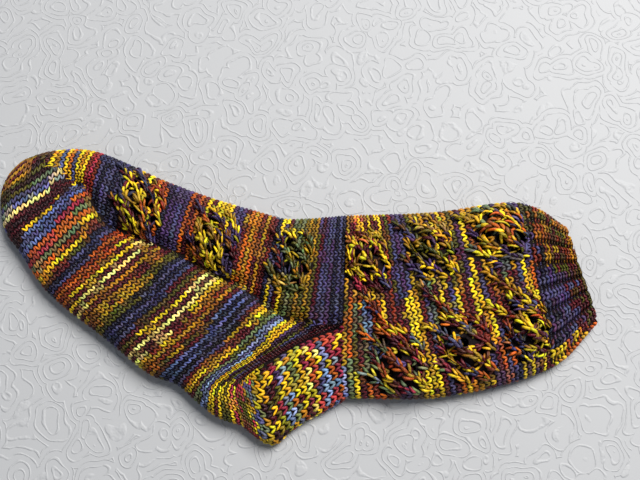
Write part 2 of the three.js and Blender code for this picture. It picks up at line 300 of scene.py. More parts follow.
# %% From guide points to a closed course
ACROSS = 141  # places over one layer
dense = (1 - np.cos(np.linspace(0, math.pi, ACROSS))) / 2
YARN_OUTSIDE = 1.2  # millimetres from the cloth to the outside of the yarn, at a fold


def inset(line):
    """The same course with both ends drawn in, so that the yarn and not the cloth reaches the outline."""
    line = np.array(line, float)
    for end, inner in ((0, 1), (-1, -2)):
        line[end] += (line[inner] - line[end]) / np.linalg.norm(line[inner] - line[end]) * YARN_OUTSIDE
    return line


def closed_course(line):
    """A course as 3-D points, with its distances to the side crease and to the back fold."""
    line = inset(line)
    steps = np.linalg.norm(np.diff(line, axis=0), axis=1)
    width, instep = steps.sum(), steps[0]
    reach = dense * width
    over_instep = line[0] + (line[1] - line[0]) * (np.minimum(reach, instep) / instep)[:, None]
    over_sole = along(line[1:], np.clip((reach - instep) / (width - instep), 0, 1))
    xy = np.where((reach <= instep)[:, None], over_instep, over_sole)
    to_end = np.minimum(dense, 1 - dense) * width
    fold = np.minimum(np.minimum(distance_to(front_fold, xy), distance_to(back_fold, xy)), to_end)
    upper = np.column_stack([xy, upper_height(xy, fold)])
    lower = np.column_stack([xy, lower_height(fold)])[::-1]
    points = np.vstack([upper, lower[1:]])
    lengths = np.append(0, np.cumsum(np.linalg.norm(np.diff(points, axis=0), axis=1)))
    crease = np.interp(instep, reach, lengths[: len(dense)])
    back = lengths[len(dense) - 1]
    under = lengths[-1] - np.interp(instep, reach, (lengths[-1] - lengths[len(dense) - 1:])[::-1])
    return points, crease, back, under


def section_of(courses, first, last, row_mm):
    """A section between two courses, which also knows where its crease and its back fold lie."""
    rows = np.arange(first, last + 0.01, 0.5)
    made = [closed_course(guides(courses, row)) for row in rows]
    section = Section(rows, [m[0] for m in made], row_mm, STITCH)
    section.crease, section.back, section.under = (np.array([m[i] for m in made]) for i in (1, 2, 3))
    return section


print("places across one layer:", len(dense))

# %% [markdown]
# The gauge turns counted stitches into millimetres. Courses are closer together than stitches, as in all
# plain knitting, and closer still on the heel, where every other stitch is slipped.

# %% Leg, cuff and foot
STITCH, ROW = 3.65, 2.76  # millimetres
HEEL_STITCH, HEEL_ROW = 4.2, 2.1  # slipped stitches draw the heel's courses together
leg = section_of(LEG_COURSES, 0, ANKLE_ROW, ROW)
cuff = section_of(LEG_COURSES, 0, CUFF_ROWS + 0.5, ROW)
foot = section_of(FOOT_COURSES, ANKLE_ROW, LAST_ROW, ROW)
print("leg", leg.table.shape, "round", leg.round_mm.min(), leg.round_mm.max())
print("foot", foot.table.shape, "round", foot.round_mm.min(), foot.round_mm.max())

# %% [markdown]
# The heel is a pocket folded down its middle. On the real sock a flap is knitted back and forth on half
# of the stitches, and short rows turn it under. Its courses run here from the picked-up edge over the
# upper layer to the fold, and back underneath. Its four sides are known curves, so the inside is blended
# between them.

# %% The heel pocket
HEEL_COURSES = 34
first_sole_course = guides(FOOT_COURSES, ANKLE_ROW)[1:]
crease_point, _, corner_point, back_point = first_sole_course
sole_steps = np.linalg.norm(np.diff(first_sole_course, axis=0), axis=1)
pick_up_share = sole_steps[:2].sum() / sole_steps.sum()
flap_start = guides(LEG_COURSES, ANKLE_ROW)[1:]


def heel_course(down):
    """One course of the heel, at a share of the way from the leg to the sole."""
    to_fold = np.sin(np.linspace(0, math.pi / 2, 81))[:, None]
    picked_up = along(first_sole_course, down * pick_up_share)
    sides = picked_up * (1 - to_fold) + along(HEEL_FOLD, down) * to_fold
    sole = along(first_sole_course, pick_up_share + (1 - pick_up_share) * to_fold[:, 0])
    ends = along(flap_start, to_fold[:, 0]) * (1 - down) + sole * down
    near = crease_point + (corner_point - crease_point) * down
    far = flap_start[3] + (back_point - flap_start[3]) * down
    xy = sides + ends - (near * (1 - to_fold) + far * to_fold)
    fold = distance_to(back_fold, xy)
    fold[-1] = 0
    upper = np.column_stack([xy, upper_height(xy, fold)])
    lower = np.column_stack([xy, lower_height(fold)])[::-1]
    return np.vstack([upper, lower[1:]]), np.linalg.norm(np.diff(upper, axis=0), axis=1).sum()


print("the picked-up edge is", round(pick_up_share * 100), "% of the first course of the sole")

# %% The heel's table
heel_rows = np.arange(-1, HEEL_COURSES + 1.01, 0.5)  # one course lies under each neighbour
heel_made = [heel_course(row / HEEL_COURSES) for row in heel_rows]
heel = Section(heel_rows, [m[0] for m in heel_made], HEEL_ROW, HEEL_STITCH, closed=False)
heel.back = np.array([m[1] for m in heel_made])
print("heel courses are", heel.round_mm.min().round(), "to", heel.round_mm.max().round(), "mm")

# %% [markdown]
# ## Where the stitches are
# On the leg there are 64 stitches round. The leg lies a little twisted, so the stitch that is at the
# front fold changes slowly from course to course. On the foot the instep stitches are counted from the
# front fold and the sole stitches from the back fold. They meet at the side crease, where gussets and
# toe are decreased, so a column of stitches simply ends there.
#
# An image of knitting, wrapped round the cloth, would be quicker. It would have no depth along the outline
# and no real holes, and its stitches could not end at a crease.

# %% Columns of stitches
AROUND = 64


def front_column(row):
    """The column, counted round the leg, that lies at the front fold."""
    return np.interp(row, [0, 14, 33, 53, 77, 113, 131], [3.0, 2.4, 0.6, -1.0, -0.4, 1.2, 1.6])


def back_column(row):
    """The column that lies at the back fold of the leg."""
    return np.interp(row, [0, 14, 33, 53], [33.2, 32.8, 31.4, 29.5])


def leg_reach(row, column):
    """Millimetres round the leg of a column."""
    front, back = front_column(row), back_column(row)
    total, fold = leg.length(row), np.interp(row, leg.rows, leg.back)
    turned = (column - front) % AROUND
    upper = turned / (back - front) * fold
    lower = fold + (turned - (back - front)) / (AROUND - back + front) * (total - fold)
    return np.where(turned < back - front, upper, lower)


print("at the ankle, columns", front_column(ANKLE_ROW), "and", back_column(ANKLE_ROW), "lie at the folds")

# %% [markdown]
# The leg is pulled askew, so its courses cross it aslant, and straighten again at the cuff and the heel.
# In the ribbing each pair of purl stitches draws in and hides between two ridges of knit stitches.

# %% Slant and ribs
LEG_SLANT = 0.2  # courses per column


def slanted(row, column):
    """Where along the leg a stitch of this course lies, because the courses cross the leg aslant."""
    turned = (column - front_column(row)) % AROUND
    askew = LEG_SLANT * (np.abs(turned - AROUND / 2) - AROUND / 4)
    hold = np.clip(np.minimum(row - CUFF_ROWS, ANKLE_ROW - row) / 12, 0, 1)
    return row + askew * hold


def rib_column(column):
    """Knit columns spread and purl columns draw in, so each pair of purls hides between two ridges."""
    return np.floor(column / 4) * 4 + np.interp(column % 4, [0, 1, 2, 3, 4], [0, 1.3, 2.6, 3.3, 4])


def cuff_reach(row, column):
    """Millimetres round the cuff of a column."""
    return leg_reach(row, rib_column(column))


def instep_reach(row, column):
    """Columns of the instep are the leg's own, and lie one stitch apart."""
    return (column - front_column(row)) * STITCH


def sole_reach(row, column):
    """Columns of the sole are counted from the back fold, negative towards the side that shows."""
    return np.interp(row, foot.rows, foot.back) + column * STITCH


def heel_reach(row, column):
    """Columns of the heel are counted from its fold."""
    return np.interp(row, heel.rows, heel.back) + column * HEEL_STITCH


print("a knit pair is", rib_column(2.0), "columns wide, and a purl pair", 4 - rib_column(2.0))

# %% Which stitches there are
def cells(rows, low, high):
    """Every (row, column) pair, with the columns between low(row) and high(row)."""
    found = []
    for row in rows:
        first, last = math.ceil(low(row)), math.floor(high(row))
        found += [(row, column) for column in range(first, last)]
    return np.array(found, float)


def on(section, name, row):
    """A distance that a section knows, at one course."""
    return float(np.interp(row, section.rows, getattr(section, name)))


leg_cells = cells(range(CUFF_ROWS, ANKLE_ROW), lambda r: 0, lambda r: AROUND)
cuff_cells = cells(range(0, CUFF_ROWS), lambda r: 0, lambda r: AROUND)
foot_rows = range(ANKLE_ROW, LAST_ROW)
instep_cells = cells(
    foot_rows,
    lambda r: float(front_column(r)) - (float(foot.length(r)) - on(foot, "under", r)) / STITCH + 0.2,
    lambda r: float(front_column(r)) + on(foot, "crease", r) / STITCH + 0.2,
)
sole_cells = cells(
    foot_rows,
    lambda r: (on(foot, "crease", r) - on(foot, "back", r)) / STITCH - 0.5,
    lambda r: (on(foot, "under", r) - on(foot, "back", r)) / STITCH + 0.5,
)
heel_cells = cells(
    range(-1, HEEL_COURSES + 1),
    lambda r: -on(heel, "back", r) / HEEL_STITCH - 0.3,
    lambda r: (float(heel.length(r)) - on(heel, "back", r)) / HEEL_STITCH + 0.3,
)
print("stitches of leg and cuff:", len(leg_cells), len(cuff_cells))
print("stitches of instep, sole and heel:", len(instep_cells), len(sole_cells), len(heel_cells))

# %% Grooves of the ribbing
RIB_GROOVE = 1.9  # millimetres that the purl columns lie behind the knit ones
GROOVE_FADE = 2.5  # courses over which a groove runs out into the leg
FLAT_BOTTOM = 1.35  # above 1, a groove is wider than a plain wave's


def press_ribs():
    """Draws the cuff's table in along the purl columns, less and less towards the leg."""
    columns = np.arange(0, AROUND, 0.05)
    for i, row in enumerate(cuff.rows):
        reach = cuff_reach(np.full(len(columns), row), columns)
        order = np.argsort(reach)
        at = np.linspace(0, cuff.round_mm[i], ROUND + 1)
        column = columns[order][np.clip(np.searchsorted(reach[order], at), 0, len(columns) - 1)]
        groove = np.clip(FLAT_BOTTOM * np.cos((column % 4 - 3) * math.pi / 2), 0, 1)
        fade = np.clip((CUFF_ROWS + 0.5 - row) / GROOVE_FADE, 0, 1)
        cuff.table[i] -= cuff.out[i] * (RIB_GROOVE * fade * groove)[:, None]
        cuff.table[i, -1] = cuff.table[i, 0]
    cuff.find_way_out()


press_ribs()
print("grooves pressed into", len(cuff.rows), "lines of the cuff")

# %% [markdown]
# ## The yarn's colours
# The yarn is hand-dyed in many short lengths of colour. Knitted round and round, the colours stack up
# into bands of a few courses, and two that alternate give the fine zigzag of yellow and maroon. Here the
# bands are charted: a first course, then the colours of its even and its odd courses. The change
# from one band to the next wanders a little from column to column, as dye does. A grid with a colour for
# every stitch would say no more, and nobody could read it.

# %% Dyes
DYES = {
    "mustard": (0.46, 0.27, 0.010), "yellow": (0.74, 0.56, 0.018), "pale": (0.86, 0.77, 0.27),
    "gold": (0.50, 0.30, 0.010), "olive": (0.125, 0.110, 0.008), "orange": (0.50, 0.15, 0.012),
    "rust": (0.24, 0.042, 0.008), "maroon": (0.125, 0.007, 0.020), "wine": (0.045, 0.004, 0.012),
    "crimson": (0.37, 0.042, 0.080), "purple": (0.095, 0.045, 0.130), "slate": (0.100, 0.093, 0.190),
    "navy": (0.010, 0.010, 0.040), "blue": (0.14, 0.17, 0.33), "sky": (0.29, 0.35, 0.50),
    "sage": (0.19, 0.24, 0.12), "dark": (0.012, 0.008, 0.014),
}
print(len(DYES), "dyes")

# %% Bands of the leg and the cuff
LEG_FRONT = [
    (0, "mustard", "rust"), (4, "olive", "maroon"), (8, "mustard", "rust"), (12, "olive", "dark"),
    (14.5, "slate", "purple"), (17, "yellow", "orange"), (20, "sage", "purple"), (22, "mustard", "yellow"),
    (24.5, "maroon", "mustard"), (26, "mustard", "yellow"), (27.5, "purple", "maroon"),
    (29, "mustard", "olive"), (31, "maroon", "yellow"), (33, "purple", "yellow"), (35, "olive", "mustard"),
    (39, "slate", "purple"), (42.5, "rust", "olive"), (44, "maroon", "yellow"), (46, "yellow", "maroon"),
    (49, "crimson", "yellow"), (51, "gold", "maroon"), (54, "slate", "navy"),
]
LEG_SIDE = [
    (0, "orange", "maroon"), (14, "yellow", "mustard"), (16, "maroon", "slate"), (18, "yellow", "maroon"),
    (20, "mustard", "maroon"), (22, "rust", "maroon"), (23, "slate", "maroon"), (24, "yellow", "gold"),
    (26, "rust", "maroon"), (28, "slate", "yellow"), (30, "yellow", "maroon"), (32, "orange", "maroon"),
    (33, "sage", "slate"), (35, "maroon", "rust"), (36, "yellow", "gold"), (38, "maroon", "yellow"),
    (40, "rust", "maroon"), (42, "slate", "maroon"), (43, "yellow", "maroon"), (44, "rust", "orange"),
    (46, "sky", "slate"), (48, "sage", "maroon"), (50, "olive", "orange"), (52, "mustard", "maroon"),
]
LEG_BACK = [
    (0, "orange", "maroon"), (4, "yellow", "orange"), (8, "orange", "maroon"), (11, "yellow", "mustard"),
    (14, "maroon", "yellow"), (17, "yellow", "purple"), (19.5, "slate", "navy"), (21, "orange", "slate"),
    (23, "slate", "maroon"), (24.5, "yellow", "maroon"), (26, "maroon", "mustard"), (28, "orange", "yellow"),
    (31, "slate", "maroon"), (33, "yellow", "maroon"), (35, "yellow", "gold"), (37, "sage", "crimson"),
    (39, "slate", "maroon"), (41, "yellow", "maroon"), (44, "orange", "rust"), (47, "mustard", "maroon"),
    (49, "yellow", "sage"), (51, "sky", "yellow"), (52, "yellow", "crimson"),
]
CUFF_SIDE = [(-1, "olive", "maroon"), (4, "slate", "maroon"), (7, "purple", "slate"), (11, "slate", "navy")]
print("bands of the leg:", len(LEG_FRONT), len(LEG_SIDE), len(LEG_BACK))

# %% Bands of the foot and the heel
INSTEP = [
    (53, "slate", "navy"), (56, "purple", "slate"), (58, "slate", "maroon"), (60, "olive", "mustard"),
    (64, "olive", "sage"), (67, "maroon", "yellow"), (69, "yellow", "slate"), (70.5, "slate", "navy"),
    (72, "maroon", "rust"), (73.5, "mustard", "maroon"), (76, "orange", "mustard"), (79, "yellow", "maroon"),
    (80, "purple", "slate"), (83, "mustard", "yellow"), (86, "yellow", "maroon"), (90, "orange", "maroon"),
    (93, "slate", "purple"), (96, "purple", "navy"), (98, "orange", "rust"), (100, "yellow", "maroon"),
    (105.5, "navy", "slate"), (110, "slate", "navy"), (113, "crimson", "rust"), (115.5, "yellow", "mustard"),
    (119, "blue", "slate"), (120, "orange", "yellow"), (122, "blue", "slate"), (123, "yellow", "mustard"),
    (125, "olive", "maroon"), (128, "mustard", "olive"),
]
SOLE = [
    (53, "maroon", "wine"), (55.5, "slate", "wine"), (57, "maroon", "olive"), (58.5, "wine", "purple"),
    (60, "yellow", "gold"), (63, "slate", "sky"), (65.5, "olive", "sage"),
    (67, "maroon", "yellow"), (68.5, "mustard", "maroon"), (70.5, "slate", "dark"), (73, "blue", "navy"),
    (75.5, "olive", "maroon"), (77, "mustard", "rust"), (80, "maroon", "yellow"), (81, "pale", "maroon"),
    (83.5, "yellow", "maroon"), (85, "olive", "maroon"), (86.8, "slate", "navy"), (90.5, "olive", "dark"),
    (91.5, "mustard", "olive"), (93, "maroon", "mustard"), (94, "mustard", "maroon"), (97, "pale", "maroon"),
    (99, "yellow", "maroon"), (101.4, "orange", "rust"), (104.5, "slate", "navy"), (107, "maroon", "olive"),
    (108, "yellow", "rust"), (110, "sage", "orange"), (112, "orange", "crimson"), (113.8, "slate", "blue"),
    (116.5, "yellow", "wine"), (117.5, "wine", "maroon"), (120.6, "pale", "blue"), (122.5, "slate", "sage"),
    (124, "wine", "olive"), (127, "mustard", "maroon"),
]
SOLE_START = [
    (53, "crimson", "yellow"), (55, "olive", "yellow"), (57, "yellow", "olive"), (59, "mustard", "maroon"),
]
HEEL = [
    (-1, "crimson", "maroon"), (1, "orange", "crimson"), (3, "yellow", "sky"), (5, "slate", "sky"),
    (7, "crimson", "orange"), (9, "pale", "yellow"), (11, "maroon", "crimson"), (13, "orange", "yellow"),
    (15, "yellow", "sage"), (17, "sky", "purple"), (19, "maroon", "crimson"), (20, "yellow", "olive"),
    (23, "wine", "maroon"), (25, "yellow", "mustard"), (28, "sage", "slate"), (30, "mustard", "yellow"),
    (32, "crimson", "olive"),
]
print("bands of instep, sole and heel:", len(INSTEP), len(SOLE), len(HEEL))

# %% From a chart to the colour of a stitch
def wander(column, row, seed):
    """A smooth wavering between -1 and 1, the same on every run."""
    return (
        np.sin(column * 0.47 + seed * 1.7) + 0.7 * np.sin(column * 0.19 + row * 0.11 + seed * 4.1)
        + 0.5 * np.sin(column * 1.13 + row * 0.37 + seed * 2.3)
    ) / 2.2


DYE_RUNS = 0.8  # how much of a band's other colour runs in, here and there along a course


def band_colour(bands, row, column, seed, slope=0.0, centre=0.0, course=None):
    """The dye of each stitch. A band may slope across the columns, by slope courses for each column."""
    starts = np.array([band[0] for band in bands], float)
    pairs = np.array([[DYES[band[1]], DYES[band[2]]] for band in bands])
    seen = row + 0.3 + 0.6 * wander(column, row, seed) + slope * (column - centre)
    band = np.clip(np.searchsorted(starts, seen, side="right") - 1, 0, len(bands) - 1)
    odd = np.round(row if course is None else course).astype(int) % 2
    share = np.clip(DYE_RUNS * wander(column * 2.9, row * 3.7, seed + 11), 0, 0.75)[:, None]
    return pairs[band, odd] * (1 - share) + pairs[band, 1 - odd] * share


def yarn_shade(colour, row, column, seed):
    """Small differences in the strength of the dye from stitch to stitch."""
    rng = np.random.default_rng(seed)
    strength = 1 + 0.22 * rng.standard_normal(len(row)) + 0.12 * wander(column * 2.3, row, seed + 5)
    hue = 1 + 0.12 * rng.standard_normal((len(row), 3))
    deeper = 1.38 * colour**1.32  # a dark dye soaks in deeper than a light one
    return deeper * np.clip(strength, 0.5, 1.6)[:, None] * np.clip(hue, 0.7, 1.3)


mustard_course = band_colour(LEG_FRONT, np.full(4, 8), np.arange(4), 1)
print("four stitches of one course:", mustard_course.round(2).tolist())

# %% Colours of each section
def leg_colour(row, column):
    """Three charts side by side round the leg, with edges that wander from course to course."""
    turned = column % AROUND
    turned = np.where(turned > 48, turned - AROUND, turned)
    first_edge = 14 + 2 * wander(row * 3.1, row, 3)
    second_edge = 24 + 3 * wander(row * 2.3, row, 7)
    at = slanted(row, column)
    front = band_colour(LEG_FRONT, at, turned, 1, 0.10, 8, row)
    side = band_colour(LEG_SIDE, at, turned, 2, 0.23, 19, row)
    back = band_colour(LEG_BACK, at, turned, 3, 0.05, 28, row)
    colour = np.where((turned < first_edge)[:, None], front, side)
    colour = np.where((turned > second_edge)[:, None], back, colour)
    return yarn_shade(colour, row, column, 11)


def cuff_colour(row, column):
    """The same charts, with the courses mixed, because in ribbing they lie over and under each other."""
    row = np.maximum(row + np.random.default_rng(17).integers(-2, 3, len(row)), 0)
    turned = column % AROUND
    turned = np.where(turned > 50, turned - AROUND, turned)
    colour = np.where((turned < 15 + 2 * wander(row * 2.9, row, 4))[:, None],
                      band_colour(LEG_FRONT, row, column, 1), band_colour(CUFF_SIDE, row, column, 2))
    colour = np.where((turned > 29 + 2 * wander(row * 2.1, row, 6))[:, None],
                      band_colour(LEG_BACK, row, column, 3), colour)
    return yarn_shade(colour, row, column, 12)


def instep_colour(row, column):
    """Bands straight across the instep."""
    return yarn_shade(band_colour(INSTEP, row, column, 21), row, column, 21)


def sole_colour(row, column):
    """Bands that slope a little, and a few short ones beside the heel."""
    beside_heel = (row < 60) & (column > -8 + 2 * wander(row * 2.3, row, 8))
    colour = np.where(beside_heel[:, None], band_colour(SOLE_START, row, column, 23),
                      band_colour(SOLE, row, column, 22, 0.16, -11))
    return yarn_shade(colour, row, column, 22)


def heel_colour(row, column):
    """The slipped stitches pull single stitches up out of the course below, so the colours are mottled."""
    mottle = np.random.default_rng(29).normal(0, 1.1, len(row))
    pulled = row + 1.3 * (column % 2) + 1.2 * wander(column * 1.7, row, 9) + 0.22 * (column + 8) + mottle
    return yarn_shade(band_colour(HEEL, pulled, column, 6), row, column, 13)


print("a heel stitch is dyed", heel_colour(np.array([4.0]), np.array([-3.0])).round(2).tolist())

# %% [markdown]
# ## One strand of a stitch
# A knit stitch shows as a V: two short lengths of yarn that rise out of the stitch below, lean outwards
# and dive under the next one. One such length is a plump pod. It starts as a UV sphere with few sides,
# because it is repeated thousands of times, and its vertices are drawn out along a short arc. Its UV map
# holds how far along and how far round the strand a point is, which the twist of the yarn needs. A curve
# with a round bevel would bend as well, but thousands of curves are heavy.

# %% The pod
YARN = 0.73  # radius of the yarn in millimetres, as it lies in a stitch
PLUMPNESS = 0.7  # below 1 the pod keeps its thickness nearly to its ends


def pod(sides, rings):
    """A unit pod: (along, sideways, up) for each vertex, its UVs, and its faces."""
    bm = bmesh.new()
    bmesh.ops.create_uvsphere(bm, u_segments=sides, v_segments=rings, radius=1)
    bm.verts.ensure_lookup_table()
    points = np.array([v.co[:] for v in bm.verts])
    faces = [[v.index for v in face.verts] for face in bm.faces]
    bm.free()
    fuller = np.linalg.norm(points[:, :2], axis=1) ** (PLUMPNESS - 1.0)
    fuller[~np.isfinite(fuller)] = 1
    shape = np.column_stack([points[:, 2] * 0.5 + 0.5, points[:, 0] * fuller, points[:, 1] * fuller])
    turn = np.arctan2(points[:, 1], points[:, 0]) / (2 * math.pi) % 1.0
    uvs = []
    for face in faces:
        turns = np.array([turn[i] if abs(points[i, 2]) < 0.999 else np.nan for i in face])
        if np.nanmax(turns) - np.nanmin(turns) > 0.5:
            turns = np.where(turns < 0.5, turns + 1, turns)
        turns = np.where(np.isnan(turns), np.nanmean(turns), turns)
        uvs += [(shape[i, 0], t) for i, t in zip(face, turns)]
    return shape, np.array(uvs), faces


FINE_POD = pod(6, 5)
PLAIN_POD = pod(5, 4)
print("a fine pod has", len(FINE_POD[2]), "faces, a plain one", len(PLAIN_POD[2]))

# %% [markdown]
# All strands of a section are one mesh, because thousands of objects would be slow. The colour attribute
# holds each strand's dye with painted shade: darker on its underside and at its ends, where it dives between
# its neighbours.

# %% Many strands in one mesh
# painted shade: how much of the dye's brightness is left on a strand's underside and at its ends
UNDERSIDE_SHADE, END_SHADE = 0.10, 0.55  # how much of the dye's brightness is left there


def joined(name, shape, points, colours):
    """One mesh of many copies of a pod. points is copies x vertices x 3, colours one per copy."""
    template, uvs, faces = shape
    copies, size = points.shape[:2]
    corner = np.concatenate([np.array(face) for face in faces])
    totals = np.array([len(face) for face in faces])
    mesh = bpy.data.meshes.new(name)
    mesh.vertices.add(copies * size)
    mesh.vertices.foreach_set("co", points.astype(np.float32).ravel())
    mesh.loops.add(copies * len(corner))
    all_corners = (corner[None] + (np.arange(copies) * size)[:, None]).ravel()
    mesh.loops.foreach_set("vertex_index", all_corners.astype(np.int32))
    mesh.polygons.add(copies * len(faces))
    starts = np.append(0, np.cumsum(totals))[:-1]
    all_starts = (starts[None] + (np.arange(copies) * len(corner))[:, None]).ravel()
    mesh.polygons.foreach_set("loop_start", all_starts.astype(np.int32))
    mesh.polygons.foreach_set("use_smooth", np.ones(copies * len(faces), bool))
    mesh.update(calc_edges=True)
    uv = mesh.uv_layers.new(name="strand")
    lengths = np.arange(copies)[:, None, None] * np.array([0.37, 0.0])
    uv.data.foreach_set("uv", (uvs[None] + lengths).astype(np.float32).ravel())
    # the attribute named dye holds each strand's dye times painted shade, darker on its underside and
    # towards its ends, where its neighbours would shade it
    dye = mesh.color_attributes.new("dye", "FLOAT_COLOR", "POINT")
    rgba = np.ones((copies, size, 4), np.float32)
    t, _, up = template.T
    shade = UNDERSIDE_SHADE + 0.96 * np.clip((up + 0.45) / 1.2, 0, 1)
    shade *= END_SHADE + (1 - END_SHADE) * np.clip(5 * t * (1 - t), 0, 1)
    rgba[..., :3] = colours[:, None] * shade[None, :, None]
    dye.data.foreach_set("color", rgba.ravel())
    mesh.validate()
    made = bpy.data.objects.new(name, mesh)
    bpy.context.collection.objects.link(made)
    print(name, copies, "strands,", copies * (totals - 2).sum(), "triangles")
    return made

# %% [markdown]
# A strand is given by its two ends, each a course and a column. The pod is laid between them in the grid
# of courses and columns, arched up, and only then put on the cloth, so it bends with the cloth.

# %% Strands on the cloth
def strands(section, reach_of, shape, start, end, radius, arch, sink=0.35):
    """Pods from start to end, both (row, column) per strand, arched up off the cloth."""
    t, side, up = shape[0].T
    start, end = np.asarray(start, float), np.asarray(end, float)
    step = end - start
    row = start[:, None, 0] + step[:, None, 0] * t
    column = start[:, None, 1] + step[:, None, 1] * t
    run = np.stack([step[:, 0] * section.row_mm, step[:, 1] * section.stitch_mm], axis=1)
    run /= np.maximum(np.linalg.norm(run, axis=1, keepdims=True), 1e-9)
    radius = np.broadcast_to(np.asarray(radius, float), (len(start),))[:, None]
    arch = np.broadcast_to(np.asarray(arch, float), (len(start),))[:, None]
    sink = np.broadcast_to(np.asarray(sink, float), (len(start),))[:, None]
    row = row - side * radius * run[:, 1:] / section.row_mm
    column = column + side * radius * run[:, :1] / section.stitch_mm
    lift = up * radius + arch * (4 * t * (1 - t)) - sink
    if section is leg:
        row = slanted(row, column)
    return section.place(row, reach_of(row, column), lift)


one_strand = strands(heel, heel_reach, FINE_POD, [(4, -3)], [(5, -3)], YARN, 0.9)
print("a strand is", round(float(np.ptp(one_strand[0, :, 2]) / MM), 1), "mm high")

# %% [markdown]
# ## Plain knitting
# Each stitch gets two strands. They start close together at the bottom of the V, which points to the
# cast-on edge, and end near the neighbouring stitches. The stitches that face the surface get pods with
# fewer sides, because nobody sees them close. Stitches are left out only where an eyelet is.

# %% Lace motifs by course and column
LEG_MOTIFS = [
    (19.5, 9), (33, 8.5), (47, 9), (18, 24.5), (30.5, 24.5), (43, 24.5),
    (19, 41), (32, 41), (45, 41), (25, 57), (39, 57),
]
FOOT_MOTIFS = [(66, 9), (84.5, 9), (102, 8.5), (70, -8), (86, -8), (102, -8)]
HOLES = [  # courses and columns from the centre of a motif to each of its eyelets
    (3.2, -0.8), (0.8, 1.2), (-1.8, 3.2), (-0.8, -1.2), (2.0, -3.4), (-3.4, 0.8), (4.6, 1.6), (2.2, 3.6),
]
HOLE_ROWS, HOLE_COLUMNS = 1.2, 0.8  # half the size of an eyelet
KEPT_CLEAR = 1.25  # how much wider than the eyelet the gap between the plain stitches is


def in_holes(cells_found, motifs):
    """Which cells have their middle inside an eyelet of one of the motifs."""
    row, column = cells_found[:, 0] + 0.5, cells_found[:, 1] + 0.5
    hit = np.zeros(len(row), bool)
    for motif_row, motif_column in motifs:
        for hole_row, hole_column in HOLES:
            down = (row - motif_row - hole_row) / (HOLE_ROWS * KEPT_CLEAR)
            over = (column - motif_column - hole_column) / (HOLE_COLUMNS * KEPT_CLEAR)
            hit |= down**2 + over**2 < 1
    return hit


print("stitches of the leg that make way for eyelets:", in_holes(leg_cells, LEG_MOTIFS).sum())

# %% Knit stitches
V_FOOT, V_TOP = 0.16, 1.12  # courses: the V starts a little below its own course and ends above the next
V_NARROW, V_WIDE = 0.03, 0.56  # columns from the middle of the stitch, at the V's foot and top
V_ARCH, V_SINK = 0.9, 0.42  # millimetres that the yarn stands up, and that its ends sink in
# painted shade: the V's second strand is a darker copy of its first strand's dye
SECOND_STRAND_SHADE = 0.93  # how bright the V's second strand is beside its first
SLACK, UNEVEN = 0.05, 0.06  # spread of where a V starts and ends, and of its thickness


def knit(name, section, reach_of, found, colour_of, shape, lift=0.0, radius=YARN):
    """Both strands of every stitch in found, joined in one mesh."""
    row, column = found.T
    colours = colour_of(row, column)
    middle = column + 0.5
    rng = np.random.default_rng(len(name) * 7 + len(found))
    slack = SLACK * rng.standard_normal((len(found), 2))
    size = radius * (1 + UNEVEN * rng.standard_normal(len(found)))
    made = []
    for lean in (-1, 1):
        start = np.column_stack([row - V_FOOT + slack[:, 0], middle - lean * V_NARROW])
        end = np.column_stack([row + V_TOP + slack[:, 1], middle + lean * V_WIDE])
        made.append(strands(section, reach_of, shape, start, end, size, V_ARCH + lift, V_SINK))
    return joined(name, shape, np.vstack(made), np.vstack([colours, colours * SECOND_STRAND_SHADE]))


TURNED_UNDER = 1.5  # millimetres: a stitch that lies lower than this faces the surface


def shows(section, reach_of, found):
    """Whether a stitch lies on the upper layer or on a fold."""
    row, column = found[:, 0] + 0.5, found[:, 1] + 0.5
    height = section.place(row, reach_of(row, column), np.zeros(len(row)))[:, 2]
    return height > TURNED_UNDER * MM


print("a V is", round((V_FOOT + V_TOP) * ROW, 1), "mm long")

# %% All the plain stitches
pieces_made = {}
for label, section, reach_of, found, colour_of, motifs in [
    ("leg", leg, leg_reach, leg_cells, leg_colour, LEG_MOTIFS),
    ("instep", foot, instep_reach, instep_cells[instep_cells[:, 0] < TOE_ROW], instep_colour, FOOT_MOTIFS),
    ("sole", foot, sole_reach, sole_cells[sole_cells[:, 0] < TOE_ROW], sole_colour, []),
    ("toe_front", foot, instep_reach, instep_cells[instep_cells[:, 0] >= TOE_ROW], instep_colour, []),
    ("toe_back", foot, sole_reach, sole_cells[sole_cells[:, 0] >= TOE_ROW], sole_colour, []),
]:
    plain = found[~in_holes(found, motifs)]
    upper = shows(section, reach_of, plain)
    for name, chosen, shape in [
        (label + "_stitches", plain[upper], FINE_POD),
        (label + "_stitches_below", plain[~upper], PLAIN_POD),
    ]:
        pieces_made[name] = knit(name, section, reach_of, chosen, colour_of, shape)

# %% [markdown]
# ## The cuff
# Knit two, purl two: ridges of knit stitches stand between grooves. A purl stitch shows only its bump, a
# short strand that lies across the column, and it sits deep in the groove. The grooves are already in the
# cuff's table, so the ribs need no shape of their own: they are the plain stitches, a little thicker.

# %% Ribs and purls
PURL_RADIUS, PURL_ARCH, PURL_SINK = 0.85, 0.55, 0.25
PURL_MIDDLE, PURL_OVERLAP = 0.45, 0.12  # courses up from its own, and columns into each neighbour
PURL_SHADE = 0.8  # less light reaches the bottom of a groove
RIB_LIFT, RIB_YARN = 0.25, 0.78  # the knit stitches of the ribs stand up, and are a little thicker


def purl(name, section, reach_of, found, colour_of, shape):
    """One bump across the column for each purl stitch."""
    row, column = found.T
    start = np.column_stack([row + PURL_MIDDLE, column - PURL_OVERLAP])
    end = np.column_stack([row + PURL_MIDDLE, column + 1 + PURL_OVERLAP])
    points = strands(section, reach_of, shape, start, end, PURL_RADIUS, PURL_ARCH, PURL_SINK)
    return joined(name, shape, points, colour_of(row, column) * PURL_SHADE)


